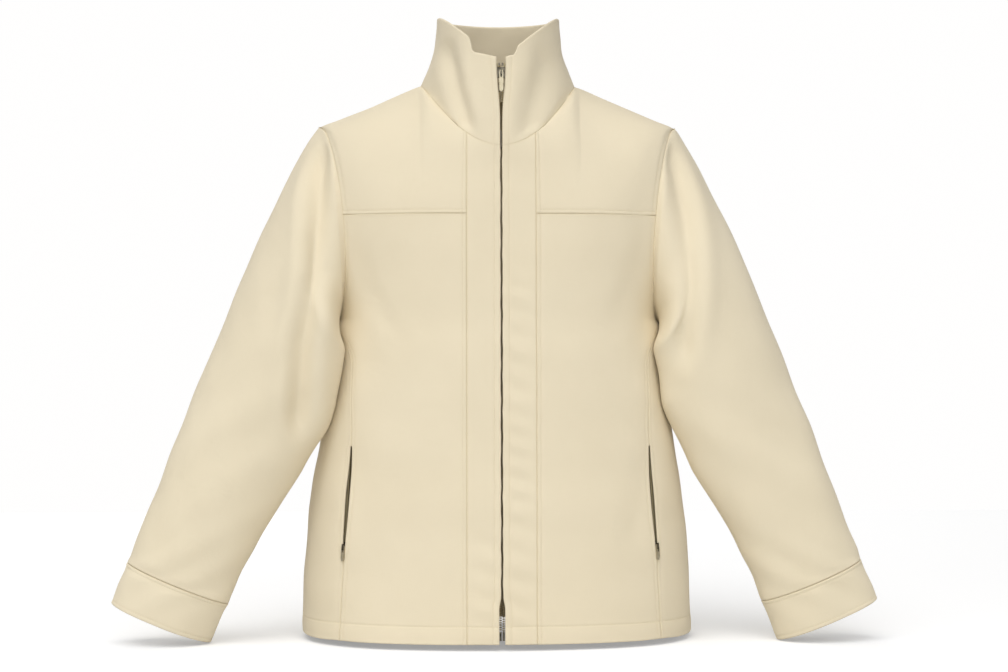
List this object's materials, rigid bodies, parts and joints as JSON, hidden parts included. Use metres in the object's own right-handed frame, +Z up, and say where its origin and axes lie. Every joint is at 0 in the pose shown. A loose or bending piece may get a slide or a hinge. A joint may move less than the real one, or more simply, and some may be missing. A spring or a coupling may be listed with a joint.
{
  "type": "zipped cotton work jacket",
  "caption": "Plain cream cotton jacket with a funnel collar, full-length front zip, yoke and side-front seams, zipped slanted pockets, long set-in sleeves and cuff bands.",
  "frame": {"origin": "middle of the flat underside of the hanging loop, where a coat hook bears", "axes": "+Z up, -Y towards the front (the zip), +X towards the wearer's left sleeve"},
  "size_m": [0.8924, 0.24, 0.726],
  "materials": {
    "cotton": "matte",
    "cotton_inside": "matte",
    "zip_tape": "matte",
    "zip_teeth": "satin",
    "zip_metal": "satin",
    "label_cloth": "matte"
  },
  "bodies": {
    "torso": {"front_band_left": "cotton", "front_band_right": "cotton", "front_panel_left": "cotton", "front_panel_right": "cotton", "side_panel_left": "cotton", "side_panel_right": "cotton", "front_yoke_left": "cotton", "front_yoke_right": "cotton", "back_panel": "cotton", "back_yoke": "cotton", "collar_outer": "cotton", "front_facing_left": "cotton_inside", "front_facing_right": "cotton_inside", "back_neck_facing": "cotton_inside", "collar_facing": "cotton_inside", "size_label": "label_cloth", "hanging_loop": "cotton_inside", "upper_sleeve_left": "cotton", "upper_sleeve_right": "cotton", "front_zip_teeth_left": "zip_teeth", "front_zip_teeth_right": "zip_teeth", "front_zip_tape_left": "zip_tape", "front_zip_tape_right": "zip_tape", "front_zip_top_stop_left": "zip_metal", "front_zip_top_stop_right": "zip_metal", "front_zip_retainer_box": "zip_metal", "front_zip_insertion_pin": "zip_metal", "pocket_bag_left": "cotton_inside", "pocket_bag_right": "cotton_inside", "pocket_front_teeth_left": "zip_teeth", "pocket_front_tape_left": "zip_tape", "pocket_back_teeth_left": "zip_teeth", "pocket_back_tape_left": "zip_tape", "pocket_front_teeth_right": "zip_teeth", "pocket_front_tape_right": "zip_tape", "pocket_back_teeth_right": "zip_teeth", "pocket_back_tape_right": "zip_tape"},
    "sleeve_left": {"front_sleeve_left": "cotton", "back_sleeve_left": "cotton", "cuff_left": "cotton"},
    "sleeve_right": {"front_sleeve_right": "cotton", "back_sleeve_right": "cotton", "cuff_right": "cotton"},
    "front_zip_slider": {"front_zip_slider": "zip_metal"},
    "front_zip_pull": {"front_zip_pull": "zip_metal"},
    "pocket_slider_left": {"pocket_slider_left": "zip_metal"},
    "pocket_pull_left": {"pocket_pull_left": "zip_metal"},
    "pocket_slider_right": {"pocket_slider_right": "zip_metal"},
    "pocket_pull_right": {"pocket_pull_right": "zip_metal"}
  },
  "joints": [
    {"name": "sleeve_raise_left", "type": "hinge", "parent": "torso", "child": "sleeve_left", "pos_m": [0.2, -0.058, -0.24], "axis": [0, -1, 0], "range_deg": [0, 40], "deforming": ["upper_sleeve_left"]},
    {"name": "sleeve_raise_right", "type": "hinge", "parent": "torso", "child": "sleeve_right", "pos_m": [-0.2, -0.058, -0.24], "axis": [0, 1, 0], "range_deg": [0, 40], "deforming": ["upper_sleeve_right"]},
    {"name": "front_zip_slide", "type": "slide", "parent": "torso", "child": "front_zip_slider", "axis": [0, 0.0499, 0.9988], "range_m": [-0.624, 0]},
    {"name": "front_zip_pull_swing", "type": "hinge", "parent": "front_zip_slider", "child": "front_zip_pull", "pos_m": [0, -0.15518, -0.00261], "axis": [-1, 0, 0], "range_deg": [0, 165]},
    {"name": "pocket_slide_left", "type": "slide", "parent": "torso", "child": "pocket_slider_left", "axis": [-0.0527, 0.077, 0.9956], "range_m": [0, 0.106]},
    {"name": "pocket_pull_swing_left", "type": "hinge", "parent": "pocket_slider_left", "child": "pocket_pull_left", "pos_m": [0.17923, -0.14324, -0.54269], "axis": [-0.812, -0.5837, 0.0022], "range_deg": [0, 165]},
    {"name": "pocket_slide_right", "type": "slide", "parent": "torso", "child": "pocket_slider_right", "axis": [0.0527, 0.077, 0.9956], "range_m": [0, 0.106]},
    {"name": "pocket_pull_swing_right", "type": "hinge", "parent": "pocket_slider_right", "child": "pocket_pull_right", "pos_m": [-0.17923, -0.14324, -0.54269], "axis": [-0.812, 0.5837, -0.0022], "range_deg": [0, 165]}
  ]
}
